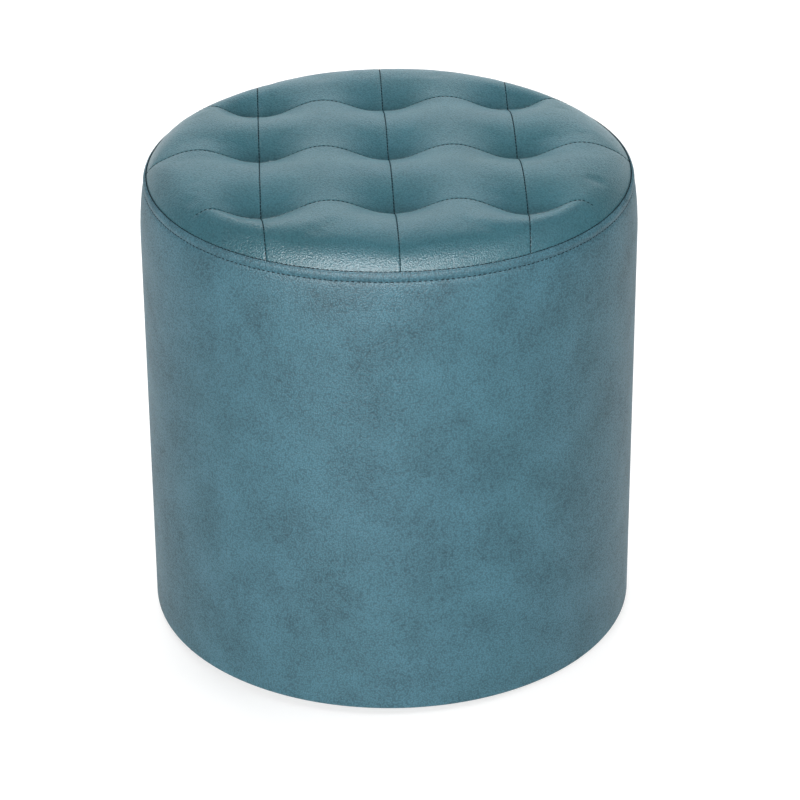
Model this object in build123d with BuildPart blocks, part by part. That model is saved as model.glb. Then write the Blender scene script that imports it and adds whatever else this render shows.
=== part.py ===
"""Round tufted pouf: a screwed wooden drum, padded all round and covered in faux leather.

The drum is two plywood boards on upright posts, wrapped in hardboard. A foam slab and a layer of
wadding lie on the seat board. The seat cover is pieced from panels, and twine pulls each crossing
of its seams down through the padding. Millimetres, +Z up, seams along X and Y, back at +Y.
The origin is on the floor, under the middle of the pouf.
"""

import os
from math import atan2, cos, degrees, hypot, pi, radians, sin, sqrt, tan

from build123d import *

# Driving dimensions: the whole pouf
pouf_diameter = 380.0
rim_seam_height = 370.0  # floor to the seam round the seat
layer_gap = 0.3  # between soft layers that lie on each other

# Driving dimensions: faux leather covers
cover_thickness = 1.2
seam_allowance = 10.0  # turned down inside the rim seam
seam_gap = 0.3  # between the two turned edges of the rim seam
hem_bend_radius = 5.0
shoulder_height = 24.0  # the side leans in over this height below the rim
shoulder_inset = 1.8
rim_fold_radius = 1.5
topstitch_drop = 7.0  # stitch line below the rim seam
topstitch_thread = 0.6
topstitch_clearance = 0.2  # round the thread, in its groove
back_seam_width = 0.8
back_seam_depth = 0.5

# Driving dimensions: tufted seat
tuft_spacing = 98.0
tuft_lines = (-1, 0, 1)  # seams each way, counted from the middle
tuft_rise = 6.0  # heights above the rim seam: at a tuft,
seam_rise = 18.0  # half way along a seam,
panel_rise = 21.0  # and in the middle of a panel
edge_run = 38.0  # the seat rounds off over this width inside the rim
edge_rise = 22.0
edge_reach = 12.0  # outer panels are shaped as if they ended this far past the rim
panel_stations = 4  # spans between the cross sections of one panel

# Driving dimensions: padding
side_padding_thickness = 7.0
foam_thickness = 50.0
wadding_at_tuft = 7.0
padding_joint = 1.0  # open butt joint of the side padding, at the back

# Driving dimensions: wooden drum
board_thickness = 12.0
hardboard_thickness = 3.0
hardboard_joint = 1.0  # open butt joint of the hardboard, on the back upright
upright_count = 6
upright_width = 40.0
upright_depth = 30.0

# Driving dimensions: fasteners
screw_diameter = 4.0
screw_head_diameter = 8.0
screw_length = 40.0
screw_tip = 5.0
screw_pitch = 20.0  # between the two screws in one end of an upright
screw_clearance = 0.1
countersink_angle = 90
staple_crown = 10.0
staple_leg = 8.0
staple_wire = 0.6
staple_relief = 0.1  # between a staple's crown and the padding over it
edge_staples = 18  # round each board
joint_staple_rows = 4
joint_staple_offset = 8.0  # from the hardboard's joint
dust_staple_count = 24
dust_staple_inset = 6.0  # from the dust cover's edge
hem_staple_count = 24
hem_staple_offset = 35.0  # inside the circle of the dust cover's staples
hem_staple_inset = 6.0  # from the hem's inner edge

# Driving dimensions: tuft ties
twine_diameter = 2.0
twine_clearance = 0.3
twine_slack = 0.6  # between a top knot and the cover over it
twine_knot_diameter = 5.0
twine_top_knot = 2.0
twine_end_knot = 5.0
twine_hole_diameter = 6.0
washer_diameter = 22.0
washer_thickness = 2.0

# Driving dimensions: underside
dust_cover_thickness = 0.4
dust_cover_inset = 15.0  # from the side of the pouf
glide_count = 4
glide_diameter = 24.0
glide_height = 4.0
glide_chamfer = 1.0
glide_inset = 42.0  # glide centre from the side of the pouf
glide_screw_diameter = 3.5
glide_screw_head = 7.0
glide_screw_length = 13.0
glide_screw_tip = 3.0
glide_screw_recess = 0.8

# Worked out: heights, from the floor up
dust_bottom = glide_height
dust_top = dust_bottom + dust_cover_thickness
hem_bottom = dust_top + staple_wire
base_bottom = hem_bottom + cover_thickness
base_top = base_bottom + board_thickness
tuft_underside = rim_seam_height + tuft_rise - cover_thickness
foam_top = tuft_underside - layer_gap - wadding_at_tuft
seat_board_top = foam_top - foam_thickness
seat_board_bottom = seat_board_top - board_thickness
upright_length = seat_board_bottom - base_top

# Worked out: radii, from the outside in
pouf_radius = pouf_diameter / 2
cover_inner_radius = pouf_radius - cover_thickness
padding_outer_radius = cover_inner_radius - layer_gap
padding_inner_radius = padding_outer_radius - side_padding_thickness
hardboard_outer_radius = padding_inner_radius - staple_wire - staple_relief
hardboard_inner_radius = hardboard_outer_radius - hardboard_thickness
board_radius = hardboard_inner_radius - layer_gap

# Worked out: the shoulder and the fold at the rim, on the middle of the side cover's thickness
half_cover = cover_thickness / 2
side_line = pouf_radius - half_cover
shoulder_angle = 2 * atan2(shoulder_inset, shoulder_height)
shoulder_radius = shoulder_height / sin(shoulder_angle)
shoulder_top = rim_seam_height - half_cover - rim_fold_radius * (1 - sin(shoulder_angle))
shoulder_bottom = shoulder_top - shoulder_height
shoulder_centre = side_line - shoulder_radius
flange_line = side_line - shoulder_inset - rim_fold_radius * (1 + cos(shoulder_angle))
flange_top = shoulder_top - rim_fold_radius * sin(shoulder_angle)
flange_bottom = flange_top - seam_allowance
rim_radius = flange_line - half_cover - seam_gap

# Worked out: the foam is flush with the hardboard, and clear of the seat cover's turned edge
foam_radius = min(hardboard_outer_radius, rim_radius - cover_thickness - layer_gap)

# Worked out: the arc that rounds the seat down to the rim
edge_radius = (edge_run**2 + edge_rise**2) / (2 * edge_rise)
edge_centre_radius = rim_radius - edge_run
edge_centre_height = rim_seam_height + edge_rise - edge_radius

# Worked out: places of the tufts, the uprights and the underside's fasteners
tuft_offsets = [line * tuft_spacing for line in tuft_lines]
tuft_places = [(x, y) for x in tuft_offsets for y in tuft_offsets if hypot(x, y) < edge_centre_radius]
panel_borders = [-rim_radius - edge_reach, *tuft_offsets, rim_radius + edge_reach]
panel_spans = list(zip(panel_borders, panel_borders[1:]))
upright_circle = sqrt(board_radius**2 - (upright_width / 2) ** 2) - upright_depth / 2
upright_turn = 360 / upright_count
back_angle = 90.0
dust_cover_radius = pouf_radius - dust_cover_inset
dust_staple_circle = dust_cover_radius - dust_staple_inset
hem_staple_circle = dust_staple_circle - hem_staple_offset
hem_inner_radius = hem_staple_circle - hem_staple_inset
glide_circle = pouf_radius - glide_inset
glide_angle = 45.0


def write(builder, name):
    """Labels a finished piece and writes it to its own STEP file."""
    builder.part.label = name
    export_step(builder.part, f"parts/{name}.step")


def edge_arc(inset):
    """Start height and start angle of the seat's edge arc on a seat that is smaller by an inset."""
    reach = rim_radius - inset - edge_centre_radius
    drop = sqrt((edge_radius - inset) ** 2 - reach**2)
    return edge_centre_height + drop, degrees(atan2(drop, reach))


def seat_outline(inset, bottom):
    """Round block with the seat's outline: rim, rounded edge and a top above every panel."""
    start_height, start_angle = edge_arc(inset)
    radius = edge_radius - inset
    top = edge_centre_height + radius
    with BuildPart() as outline:
        with BuildSketch(Plane.XZ):
            with BuildLine():
                Polyline(
                    (edge_centre_radius, top),
                    (0, top),
                    (0, bottom),
                    (rim_radius - inset, bottom),
                    (rim_radius - inset, start_height),
                )
                CenterArc(
                    (edge_centre_radius, edge_centre_height), radius, start_angle, 90 - start_angle
                )
            make_face()
        revolve(axis=Axis.Z)
    return outline.part


def pillow(across, along, drop, bottom):
    """Block under one panel of the seat: its top is low at the tufts and crowned in the middle."""
    left, right = across
    near, far = along
    middle = (near + far) / 2
    with BuildPart() as block:
        for station in range(panel_stations + 1):
            share = station / panel_stations
            swell = (1 - cos(2 * pi * share)) / 2
            border_rise = tuft_rise + (seam_rise - tuft_rise) * swell
            middle_rise = seam_rise + (panel_rise - seam_rise) * swell
            border_height = rim_seam_height + border_rise - drop
            middle_height = rim_seam_height + middle_rise - drop
            with BuildSketch(Plane.YZ.offset(left + (right - left) * share)):
                with BuildLine():
                    ThreePointArc((near, border_height), (middle, middle_height), (far, border_height))
                    Polyline((far, border_height), (far, bottom), (near, bottom), (near, border_height))
                make_face()
        loft()
    return block.part


def wood_screw(diameter, head_diameter, length, tip):
    """Countersunk screw with its head's top at the origin and its tip down along -Z."""
    radius, head_radius = diameter / 2, head_diameter / 2
    head_height = (head_radius - radius) / tan(radians(countersink_angle / 2))
    with BuildPart() as screw:
        with BuildSketch(Plane.XZ):
            with BuildLine():
                Polyline(
                    (0, 0),
                    (head_radius, 0),
                    (radius, -head_height),
                    (radius, tip - length),
                    (0, -length),
                    close=True,
                )
            make_face()
        revolve(axis=Axis.Z)
    return screw.part


os.makedirs("parts", exist_ok=True)

# Staple: crown along Y on the plane x = 0, legs along -X
with BuildPart() as staple:
    Box(staple_wire, staple_crown, staple_wire, align=(Align.MIN, Align.CENTER, Align.CENTER))
    with Locations(
        (staple_wire, -staple_crown / 2 + staple_wire / 2),
        (staple_wire, staple_crown / 2 - staple_wire / 2),
    ):
        Box(staple_leg, staple_wire, staple_wire, align=(Align.MAX, Align.CENTER, Align.CENTER))

# Staples of the hardboard: round both boards, and up both sides of its joint on the back upright
joint_staple_turn = degrees(joint_staple_offset / hardboard_outer_radius)
joint_staple_step = upright_length / (joint_staple_rows + 1)
with BuildPart() as side_panel_staples:
    for board_middle in (base_bottom + board_thickness / 2, seat_board_bottom + board_thickness / 2):
        with Locations((0, 0, board_middle)):
            with PolarLocations(hardboard_outer_radius, edge_staples, back_angle + 180 / edge_staples):
                add(staple.part)
    for step in range(1, joint_staple_rows + 1):
        with Locations((0, 0, base_top + step * joint_staple_step)):
            with PolarLocations(
                hardboard_outer_radius,
                2,
                back_angle - joint_staple_turn,
                2 * joint_staple_turn,
                endpoint=True,
            ):
                add(staple.part, rotation=(90, 0, 0))
write(side_panel_staples, "side_panel_staples")

# Staples of the side cover's hem, under the base board
with BuildPart() as hem_staples:
    with Locations((0, 0, hem_bottom)):
        with PolarLocations(hem_staple_circle, hem_staple_count, back_angle + 180 / hem_staple_count):
            add(staple.part, rotation=(0, 90, 0))
write(hem_staples, "hem_staples")

# Staples of the dust cover
with BuildPart() as dust_cover_staples:
    with Locations((0, 0, dust_bottom)):
        with PolarLocations(dust_staple_circle, dust_staple_count, back_angle + 180 / dust_staple_count):
            add(staple.part, rotation=(0, 90, 0))
write(dust_cover_staples, "dust_cover_staples")

# Screws through the boards into the ends of the uprights, two at each end
upright_screw = wood_screw(screw_diameter, screw_head_diameter, screw_length, screw_tip)
screw_places = [(0, -screw_pitch / 2), (0, screw_pitch / 2)]
with BuildPart() as base_screws:
    with Locations((0, 0, base_bottom)):
        with PolarLocations(upright_circle, upright_count, back_angle):
            with Locations(*screw_places):
                add(upright_screw, rotation=(180, 0, 0))
write(base_screws, "base_screws")

with BuildPart() as seat_screws:
    with Locations((0, 0, seat_board_top)):
        with PolarLocations(upright_circle, upright_count, back_angle):
            with Locations(*screw_places):
                add(upright_screw)
write(seat_screws, "seat_screws")

# Screws of the glides
glide_screw = wood_screw(
    glide_screw_diameter, glide_screw_head, glide_screw_length, glide_screw_tip
)
with BuildPart() as glide_screws:
    with Locations((0, 0, glide_screw_recess)):
        with PolarLocations(glide_circle, glide_count, glide_angle):
            add(glide_screw, rotation=(180, 0, 0))
write(glide_screws, "glide_screws")

# Base board: plywood disc that carries the uprights, the hem and the glides
screw_hole_radius = screw_diameter / 2 + screw_clearance
screw_sink_radius = screw_head_diameter / 2 + screw_clearance
glide_hole_radius = glide_screw_diameter / 2 + screw_clearance
glide_hole_depth = glide_screw_recess + glide_screw_length + screw_clearance - base_bottom
with BuildPart() as base_board:
    with BuildSketch(Plane.XY.offset(base_bottom)):
        Circle(board_radius)
    extrude(amount=board_thickness)
    with Locations(Location((0, 0, base_bottom), (180, 0, 0))):
        with PolarLocations(upright_circle, upright_count, back_angle):
            with Locations(*screw_places):
                CounterSinkHole(
                    screw_hole_radius, screw_sink_radius, board_thickness, countersink_angle
                )
        with PolarLocations(glide_circle, glide_count, glide_angle):
            Hole(glide_hole_radius, glide_hole_depth)
    add(side_panel_staples.part, mode=Mode.SUBTRACT)
    add(hem_staples.part, mode=Mode.SUBTRACT)
    add(dust_cover_staples.part, mode=Mode.SUBTRACT)
write(base_board, "base_board")

# Seat board: plywood disc under the foam, with a hole for the twine of each tuft
with BuildPart() as seat_board:
    with BuildSketch(Plane.XY.offset(seat_board_bottom)):
        Circle(board_radius)
        with Locations(*tuft_places):
            Circle(twine_hole_diameter / 2, mode=Mode.SUBTRACT)
    extrude(amount=board_thickness)
    with Locations((0, 0, seat_board_top)):
        with PolarLocations(upright_circle, upright_count, back_angle):
            with Locations(*screw_places):
                CounterSinkHole(
                    screw_hole_radius, screw_sink_radius, board_thickness, countersink_angle
                )
    add(side_panel_staples.part, mode=Mode.SUBTRACT)
write(seat_board, "seat_board")

# Uprights: pine posts between the boards, the first one behind the hardboard's joint
screw_depth = screw_length - board_thickness
for index in range(upright_count):
    angle = radians(back_angle + index * upright_turn)
    foot = Plane(
        origin=(upright_circle * cos(angle), upright_circle * sin(angle), base_top),
        x_dir=(cos(angle), sin(angle), 0),
        z_dir=(0, 0, 1),
    )
    with BuildPart() as upright:
        with BuildSketch(foot):
            Rectangle(upright_depth, upright_width)
        extrude(amount=upright_length)
        with Locations(foot.location * Location((0, 0, upright_length))):
            with Locations(*screw_places):
                Hole(screw_hole_radius, screw_depth)
        with Locations(foot.location * Location((0, 0, 0), (180, 0, 0))):
            with Locations(*screw_places):
                Hole(screw_hole_radius, screw_depth)
        add(side_panel_staples.part, mode=Mode.SUBTRACT)
    write(upright, f"upright_{index + 1}")

# Side panel: hardboard bent round the boards, its ends meeting on the back upright
with BuildPart() as side_panel:
    with BuildSketch(Plane.XY.offset(base_bottom)):
        Circle(hardboard_outer_radius)
        Circle(hardboard_inner_radius, mode=Mode.SUBTRACT)
        with Locations((0, hardboard_outer_radius)):
            Rectangle(hardboard_joint, 4 * hardboard_thickness, mode=Mode.SUBTRACT)
    extrude(amount=seat_board_top - base_bottom)
    add(side_panel_staples.part, mode=Mode.SUBTRACT)
write(side_panel, "side_panel")

# Side padding: foam sheet round the hardboard and the seat foam, up to the turned-in rim seam
padding_top = flange_bottom - layer_gap
padding_bottom = base_bottom + layer_gap
padding_arc = shoulder_radius - half_cover - layer_gap
padding_turn = degrees(atan2(padding_top - shoulder_bottom, shoulder_radius))
padding_corner = hem_bend_radius - half_cover
with BuildPart() as side_padding:
    with BuildSketch(Plane.XZ):
        with BuildLine():
            shoulder = CenterArc((shoulder_centre, shoulder_bottom), padding_arc, 0, padding_turn)
            Polyline(
                shoulder @ 1,
                (padding_inner_radius, (shoulder @ 1).Y),
                (padding_inner_radius, padding_bottom),
                (padding_outer_radius - padding_corner, padding_bottom),
            )
            RadiusArc(
                (padding_outer_radius - padding_corner, padding_bottom),
                (padding_outer_radius, padding_bottom + padding_corner),
                -padding_corner,
            )
            Line((padding_outer_radius, padding_bottom + padding_corner), shoulder @ 0)
        make_face()
    revolve(axis=Axis.Z)
    with BuildSketch(Plane.XY.offset(padding_bottom)):
        with Locations((0, padding_outer_radius)):
            Rectangle(padding_joint, 4 * side_padding_thickness)
    extrude(amount=padding_top, mode=Mode.SUBTRACT)
write(side_padding, "side_padding")

# Tuft ties: twine from the crossing of two seams down to a washer under the seat board
washer_bottom = seat_board_bottom - washer_thickness
with BuildPart() as tuft_washers:
    with BuildSketch(Plane.XY.offset(washer_bottom)):
        with Locations(*tuft_places):
            Circle(washer_diameter / 2)
            Circle(twine_diameter / 2 + twine_clearance, mode=Mode.SUBTRACT)
    extrude(amount=washer_thickness)
write(tuft_washers, "tuft_washers")

twine_top = tuft_underside - twine_slack
with BuildPart() as twine:
    with BuildSketch(Plane.XY.offset(washer_bottom)):
        Circle(twine_diameter / 2)
    extrude(amount=twine_top - washer_bottom)
    with BuildSketch(Plane.XY.offset(twine_top)):
        Circle(twine_knot_diameter / 2)
    extrude(amount=-twine_top_knot)
    with BuildSketch(Plane.XY.offset(washer_bottom)):
        Circle(twine_knot_diameter / 2)
    extrude(amount=-twine_end_knot)
    fillet(twine.faces().sort_by(Axis.Z)[0].edges(), twine_knot_diameter / 4)
with BuildPart() as tuft_twines:
    with Locations(*tuft_places):
        add(twine.part)
write(tuft_twines, "tuft_twines")

# Seat foam: slab on the seat board, pierced for the twine
twine_passage_radius = twine_knot_diameter / 2 + twine_clearance
with BuildPart() as seat_foam:
    with BuildSketch(Plane.XY.offset(seat_board_top)):
        Circle(foam_radius)
        with Locations(*tuft_places):
            Circle(twine_passage_radius, mode=Mode.SUBTRACT)
    extrude(amount=foam_thickness)
write(seat_foam, "seat_foam")

# Seat wadding: fills the panels from the foam up to the cover, pierced for the twine
wadding_inset = cover_thickness + layer_gap
with BuildPart() as seat_wadding:
    for across in panel_spans:
        for along in panel_spans:
            add(pillow(across, along, wadding_inset, foam_top))
    add(seat_outline(wadding_inset, foam_top), mode=Mode.INTERSECT)
    with BuildSketch(Plane.XY.offset(foam_top)):
        with Locations(*tuft_places):
            Circle(twine_passage_radius)
    extrude(amount=panel_rise + foam_thickness, mode=Mode.SUBTRACT)
write(seat_wadding, "seat_wadding")

# Seat panels: faux leather, sewn edge to edge, with the rim edge turned down as seam allowance
outer_seat = seat_outline(0, flange_bottom)
inner_seat = seat_outline(cover_thickness, flange_bottom)
for column, across in enumerate(panel_spans):
    for row, along in enumerate(panel_spans):
        if hypot(min(map(abs, across)), min(map(abs, along))) > rim_radius - seam_allowance:
            continue
        with BuildPart() as panel_lining:
            add(pillow(across, along, cover_thickness, flange_bottom))
            add(inner_seat, mode=Mode.INTERSECT)
        with BuildPart() as seat_panel:
            add(pillow(across, along, 0, flange_bottom))
            add(outer_seat, mode=Mode.INTERSECT)
            add(panel_lining.part, mode=Mode.SUBTRACT)
        write(seat_panel, f"seat_panel_row{row + 1}_col{column + 1}")

# Thread of the topstitching, half sunk in the side cover below the rim seam
topstitch_height = rim_seam_height - topstitch_drop
topstitch_radius = shoulder_centre + sqrt(
    (shoulder_radius + half_cover) ** 2 - (topstitch_height - shoulder_bottom) ** 2
)
with BuildPart() as rim_topstitch:
    with BuildSketch(Plane.XZ):
        with Locations((topstitch_radius, topstitch_height)):
            Circle(topstitch_thread / 2)
    revolve(axis=Axis.Z)
write(rim_topstitch, "rim_topstitch")

# Side cover: one faux leather tube, hemmed under the base and turned in at the rim seam
with BuildPart() as side_cover:
    with BuildSketch(Plane.XZ):
        with BuildLine():
            hem = Line(
                (hem_inner_radius, hem_bottom + half_cover),
                (side_line - hem_bend_radius, hem_bottom + half_cover),
            )
            bend = JernArc(hem @ 1, hem % 1, hem_bend_radius, 90)
            side = Line(bend @ 1, (side_line, shoulder_bottom))
            lean = JernArc(side @ 1, side % 1, shoulder_radius, degrees(shoulder_angle))
            fold = JernArc(lean @ 1, lean % 1, rim_fold_radius, 180 - degrees(shoulder_angle))
            Line(fold @ 1, (flange_line, flange_bottom))
        trace(line_width=cover_thickness)
    revolve(axis=Axis.Z)
    with BuildSketch(Plane.XY.offset(hem_bottom + hem_bend_radius)):
        with Locations((0, pouf_radius)):
            Rectangle(back_seam_width, 2 * back_seam_depth)
    extrude(amount=shoulder_bottom - hem_bottom - hem_bend_radius, mode=Mode.SUBTRACT)
    with BuildSketch(Plane.XY.offset(hem_bottom)):
        with PolarLocations(glide_circle, glide_count, glide_angle):
            Circle(glide_hole_radius)
    extrude(amount=cover_thickness, mode=Mode.SUBTRACT)
    with BuildSketch(Plane.XZ):
        with Locations((topstitch_radius, topstitch_height)):
            Circle(topstitch_thread / 2 + topstitch_clearance)
    revolve(axis=Axis.Z, mode=Mode.SUBTRACT)
    add(hem_staples.part, mode=Mode.SUBTRACT)
    add(dust_cover_staples.part, mode=Mode.SUBTRACT)
write(side_cover, "side_cover")

# Dust cover: non-woven cloth that closes the underside
with BuildPart() as dust_cover:
    with BuildSketch(Plane.XY.offset(dust_bottom)):
        Circle(dust_cover_radius)
        with PolarLocations(glide_circle, glide_count, glide_angle):
            Circle(glide_hole_radius, mode=Mode.SUBTRACT)
    extrude(amount=dust_cover_thickness)
    add(dust_cover_staples.part, mode=Mode.SUBTRACT)
write(dust_cover, "dust_cover")

# Glides: plastic feet screwed up into the base board
for index in range(glide_count):
    angle = radians(glide_angle + index * 360 / glide_count)
    place = (glide_circle * cos(angle), glide_circle * sin(angle))
    with BuildPart() as glide:
        with BuildSketch():
            with Locations(place):
                Circle(glide_diameter / 2)
        extrude(amount=glide_height)
        chamfer(glide.faces().sort_by(Axis.Z)[0].edges(), glide_chamfer)
        with Locations(Location((*place, glide_screw_recess), (180, 0, 0))):
            CounterSinkHole(
                glide_hole_radius,
                glide_screw_head / 2 + screw_clearance,
                glide_height,
                countersink_angle,
            )
    write(glide, f"glide_{index + 1}")
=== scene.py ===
"""Round tufted pouf in sponge-dyed faux leather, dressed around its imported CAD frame.

The seat's panels are inflated as one sewn cloth and then cut apart along their seams. The side
cover, the stitches, the padding and the dust cover are modelled to the frame's sizes. Metres, +Z up.
"""

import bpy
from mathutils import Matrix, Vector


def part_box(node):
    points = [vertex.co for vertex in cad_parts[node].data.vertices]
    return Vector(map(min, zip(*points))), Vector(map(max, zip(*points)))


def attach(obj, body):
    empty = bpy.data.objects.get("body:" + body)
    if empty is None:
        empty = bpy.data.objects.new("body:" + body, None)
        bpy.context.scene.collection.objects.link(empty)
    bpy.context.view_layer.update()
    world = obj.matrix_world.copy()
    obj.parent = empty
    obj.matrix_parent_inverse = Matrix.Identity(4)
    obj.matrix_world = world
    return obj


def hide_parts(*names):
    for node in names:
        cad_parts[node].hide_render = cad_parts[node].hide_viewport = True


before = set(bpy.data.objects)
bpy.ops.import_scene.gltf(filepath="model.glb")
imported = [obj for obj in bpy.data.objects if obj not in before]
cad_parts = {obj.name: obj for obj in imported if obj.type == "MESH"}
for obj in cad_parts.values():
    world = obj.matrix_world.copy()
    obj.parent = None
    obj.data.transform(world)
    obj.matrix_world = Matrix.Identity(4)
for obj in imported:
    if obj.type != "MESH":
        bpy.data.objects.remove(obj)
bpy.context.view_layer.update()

from math import atan2, cos, exp, hypot, pi, radians, sin, sqrt

import bmesh
import bpy
from bpy.props import FloatProperty, FloatVectorProperty, PointerProperty
from mathutils import Matrix, Vector

bl_info = {
    "name": "Round tufted pouf",
    "version": (1, 0, 0),
    "blender": (4, 5, 0),
    "location": "View3D > Sidebar > Pouf",
    "description": "Dresses a packed pouf: tufted seat, side cover, stitches, padding and stage",
    "category": "Mesh",
}

MM = 0.001
PANEL_NODES = [f"seat_panel_row{row}_col{col}" for row in range(1, 5) for col in range(1, 5)]
SIDE_LOW, SIDE_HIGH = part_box("side_cover")
MIDDLE_PANEL_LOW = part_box("seat_panel_row2_col2")[0]
EDGE_PANEL_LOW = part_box("seat_panel_row2_col1")[0]
FOAM_LOW, FOAM_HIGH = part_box("seat_foam")
PADDING_LOW, PADDING_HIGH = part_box("side_padding")
DUST_LOW, DUST_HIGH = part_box("dust_cover")
STITCH_LOW, STITCH_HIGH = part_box("rim_topstitch")


def linear(code):
    """Linear RGBA of an sRGB hex colour."""
    parts = [int(code[i : i + 2], 16) / 255 for i in (1, 3, 5)]
    return [c / 12.92 if c <= 0.04045 else ((c + 0.055) / 1.055) ** 2.4 for c in parts] + [1.0]


def length(name, description, default):
    """A length setting, in metres."""
    return FloatProperty(name=name, description=description, default=default, unit="LENGTH", precision=5)


def colour(name, description, code):
    """A colour setting, from an sRGB hex value."""
    return FloatVectorProperty(
        name=name, description=description, default=linear(code), size=4, subtype="COLOR", min=0, max=1
    )


class PoufSizes(bpy.types.PropertyGroup):
    """Sizes of the pouf's covers, seams and stitches."""

    side_radius: length("Side radius", "Outside of the side cover", SIDE_HIGH[0])
    rim_height: length("Rim height", "Floor to the seam round the seat", SIDE_HIGH[2])
    rim_radius: length("Rim radius", "Axis to the seam round the seat", -EDGE_PANEL_LOW[0])
    tuft_spacing: length("Tuft spacing", "Between neighbouring seams of the seat", -MIDDLE_PANEL_LOW[0])
    tuft_rise: length("Tuft rise", "Seat over the rim where two seams cross", 4.5 * MM)
    seam_rise: length("Seam rise", "Seat over the rim half way along a seam", 18 * MM)
    panel_rise: length("Panel rise", "Seat over the rim in the middle of a panel", 20.8 * MM)
    front_lift: length("Front lift", "How much higher the rim sits at the front", 2.1 * MM)
    back_settle: length("Back settle", "How far the back of the seat has settled", 1.5 * MM)
    edge_run: length("Edge run", "Width over which the seat rounds off", 38 * MM)
    edge_rise: length("Edge rise", "Height over which the seat rounds off", 22 * MM)
    back_run: length("Back run", "How much wider the seat rounds off at the back", 16 * MM)
    edge_reach: length("Edge reach", "Outer panels swell as if they ended this far past the rim", 12 * MM)
    leather: length("Leather", "Thickness of the faux leather", 1.2 * MM)
    seam_roll: length("Seam roll", "Radius of a panel's edge where it turns into a seam", 1.1 * MM)
    seam_turn: length("Seam turn", "Leather turned down inside a seam", 4 * MM)
    seat_stitch: length("Seat stitch", "From stitch to stitch in the seat's seams", 3.5 * MM)
    rim_stitch: length("Rim stitch", "From stitch to stitch below the rim", 4 * MM)
    thread: length("Thread", "Diameter of the sewing thread", 0.8 * MM)
    pressure: FloatProperty(name="Pressure", description="Push of the wadding on the seat", default=3.0)
    excess: FloatProperty(
        name="Excess", description="Spare leather in the seat's panels", default=0.001, subtype="FACTOR"
    )


class PoufColours(bpy.types.PropertyGroup):
    """Colours of the pouf's materials."""

    leather_dark: colour("Leather, dark", "Stains of the dye", "#0A3843")
    # painted light and shade: seat and side are one leather, given two main colours, the seat's darker and
    # the side's paler, each set to how it is lit
    leather_seat: colour("Leather, seat", "Main colour of the seat's dye", "#40717C")
    leather_side_as_lit: colour("Leather, side", "Main colour of the side's dye", "#497D8D")
    leather_light: colour("Leather, light", "Where the dye is thin", "#508395")
    thread: colour("Thread", "Sewing thread", "#08212A")
    wadding: colour("Wadding", "Polyester wadding", "#EDEBE6")
    foam: colour("Foam", "Seat foam", "#E6D9A8")
    padding: colour("Padding", "Side padding", "#DCDAD4")
    cloth: colour("Dust cloth", "Non-woven cloth under the base", "#1B1B1D")
    plywood: colour("Plywood", "Veneer faces of the boards", "#C9A676")
    pine: colour("Pine", "Uprights", "#D6B07A")
    hardboard: colour("Hardboard", "Side panel", "#6B4A30")
    zinc: colour("Zinc", "Screws, washers and staples", "#B9BDC2")
    twine: colour("Twine", "Tuft twine", "#CDBE9A")
    plastic: colour("Plastic", "Glides", "#17181A")
    floor: colour("Floor", "Stage floor", "#AFAFAF")


# Materials

# kinds of shader node, and the sockets of a Mix node that mixes colours
NOISE, CELLS, WAVES = "ShaderNodeTexNoise", "ShaderNodeTexVoronoi", "ShaderNodeTexWave"
RANGE, MIX, MATH, BUMP = "ShaderNodeMapRange", "ShaderNodeMix", "ShaderNodeMath", "ShaderNodeBump"
SHARE, FIRST, SECOND, MIXED = 0, 6, 7, 2


def fill(tree, made, sockets):
    """Sets or links input sockets of a node."""
    for key, value in sockets.items():
        if isinstance(value, bpy.types.NodeSocket):
            tree.links.new(value, made.inputs[key])
        else:
            made.inputs[key].default_value = value


def node(tree, kind, sockets=None, out=0, **settings):
    """Adds a node with its settings, values and links, and returns one of its outputs."""
    made = tree.nodes.new(kind)
    for key, value in settings.items():
        setattr(made, key, value)
    fill(tree, made, sockets or {})
    return made.outputs[out]


def new_material(name, **sockets):
    """A material with these shader inputs, its tree and the piece's own coordinates."""
    made = bpy.data.materials.new(name)
    made.use_nodes = True
    tree = made.node_tree
    set_shader(tree, **sockets)
    return made, tree, node(tree, "ShaderNodeTexCoord", out="Object")


def set_shader(tree, **sockets):
    """Sets or links the shader's inputs of these names."""
    named = {key.replace("_", " "): value for key, value in sockets.items()}
    fill(tree, tree.nodes["Principled BSDF"], named)


def shaded(shade, share, lift=0.0):
    """A colour made darker or paler."""
    return [min(1.0, share * part + lift) for part in shade[:3]] + [1.0]


def tint_and_relief(tree, tint, shades, relief, strength, depth_mm):
    """Gives a material two shades mixed by a pattern, and a face raised by that pattern or another."""
    mixed = {SHARE: tint, FIRST: shades[0], SECOND: shades[1]}
    base = node(tree, MIX, mixed, out=MIXED, data_type="RGBA")
    bump = node(tree, BUMP, {"Height": relief, "Strength": strength, "Distance": depth_mm * MM})
    set_shader(tree, Base_Color=base, Normal=bump)


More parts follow.
